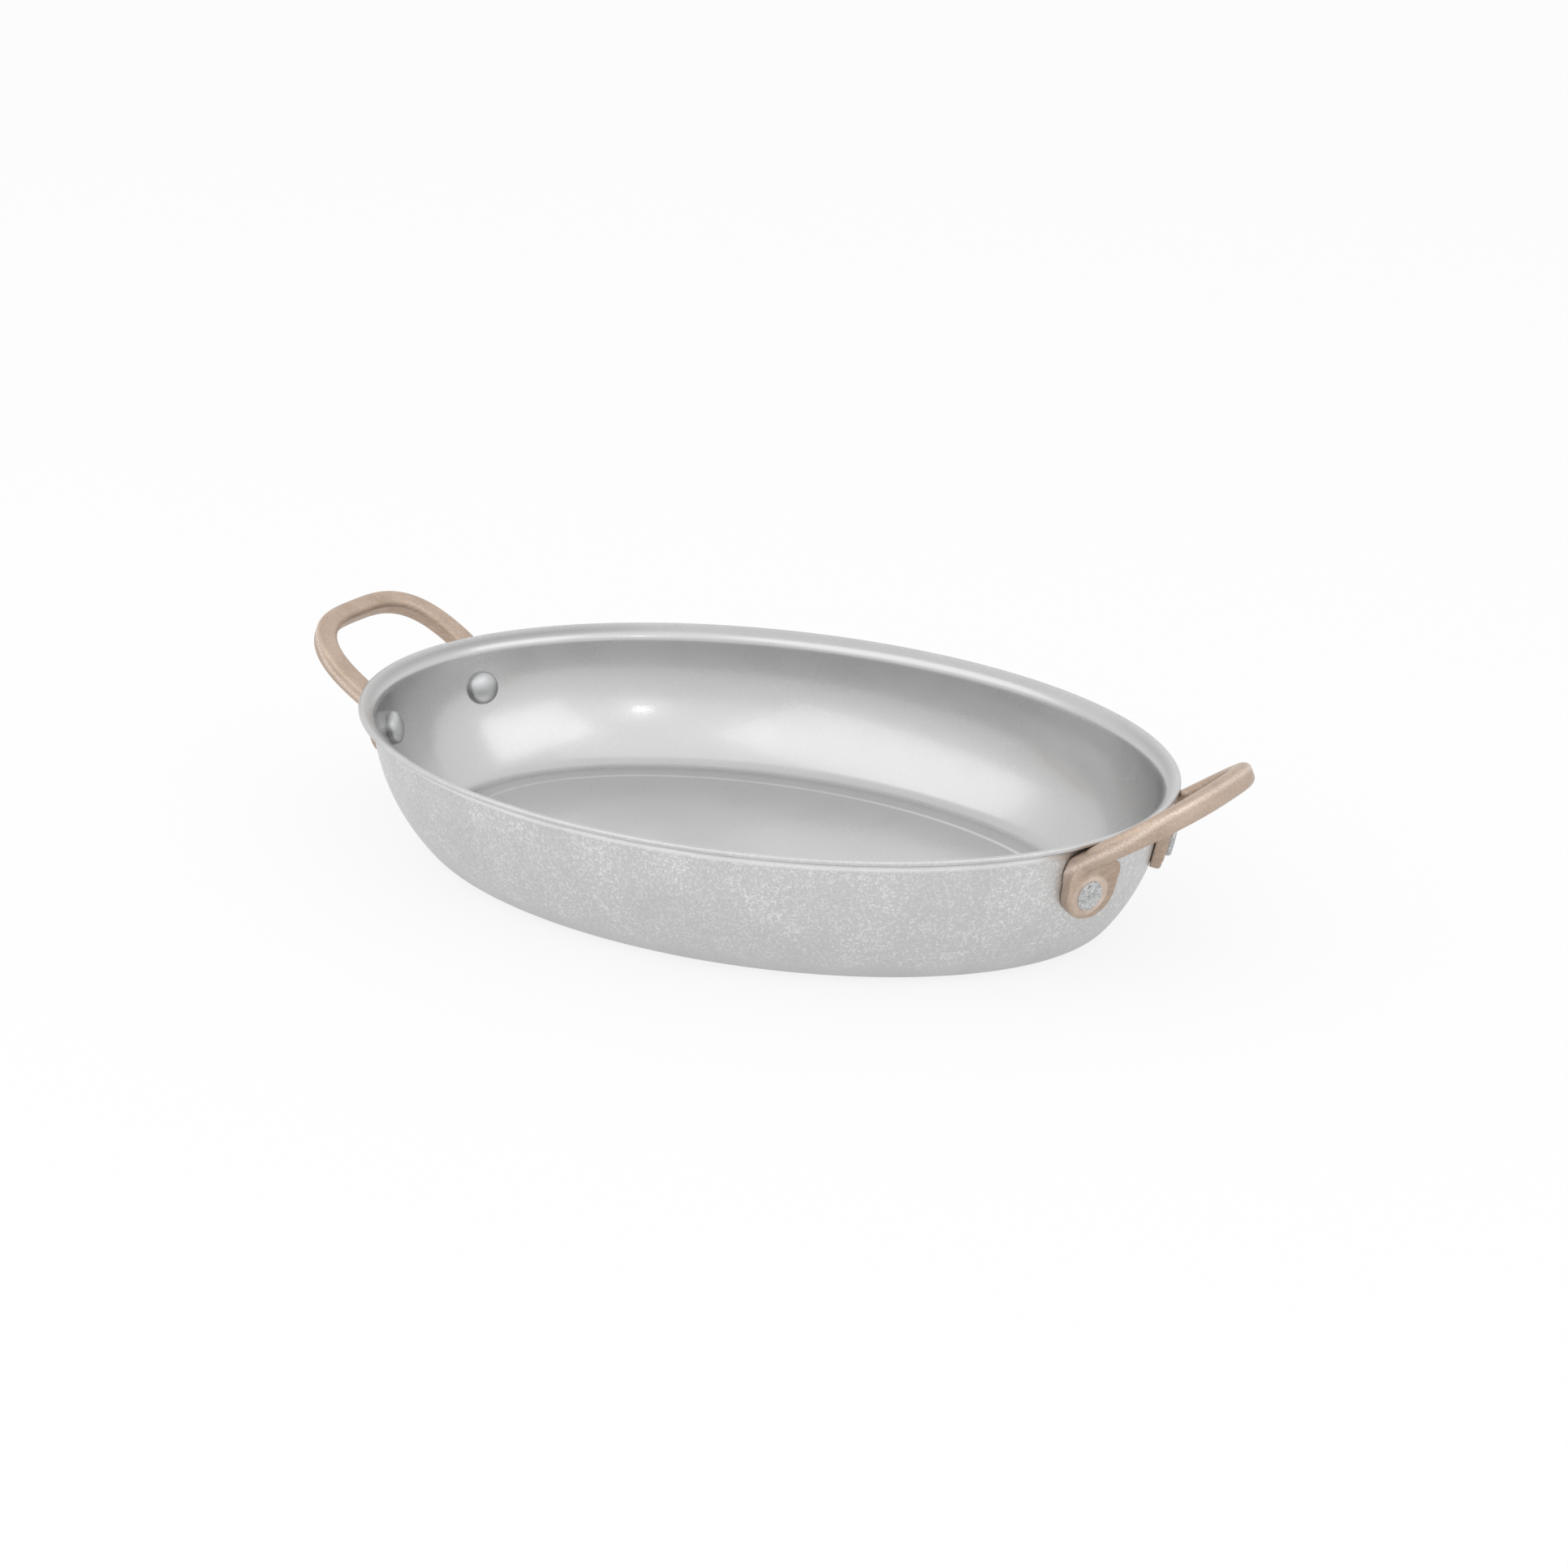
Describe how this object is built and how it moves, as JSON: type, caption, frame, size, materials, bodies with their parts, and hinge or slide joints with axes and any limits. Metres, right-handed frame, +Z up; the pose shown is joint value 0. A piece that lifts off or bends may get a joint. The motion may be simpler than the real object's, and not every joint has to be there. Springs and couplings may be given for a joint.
{
  "type": "oval pan",
  "caption": "Oval aluminium pan with a curved wall, flared lip and sunk floor, and a cast loop handle riveted to each end.",
  "frame": {"origin": "under the middle of the base, on the flat that the pan stands on", "axes": "+X along the pan, from handle to handle; +Y across it; +Z up, out of its open top"},
  "size_m": [0.2832, 0.1678, 0.0539],
  "materials": {
    "pan_aluminium": "tumbled satin",
    "handle_bronze": "as cast, edges filed",
    "rivet_aluminium": "hammered"
  },
  "bodies": {
    "root": {"pan_body": "pan_aluminium", "handle_left": "handle_bronze", "handle_right": "handle_bronze", "rivet_left_front": "rivet_aluminium", "rivet_left_back": "rivet_aluminium", "rivet_right_front": "rivet_aluminium", "rivet_right_back": "rivet_aluminium"}
  },
  "joints": []
}
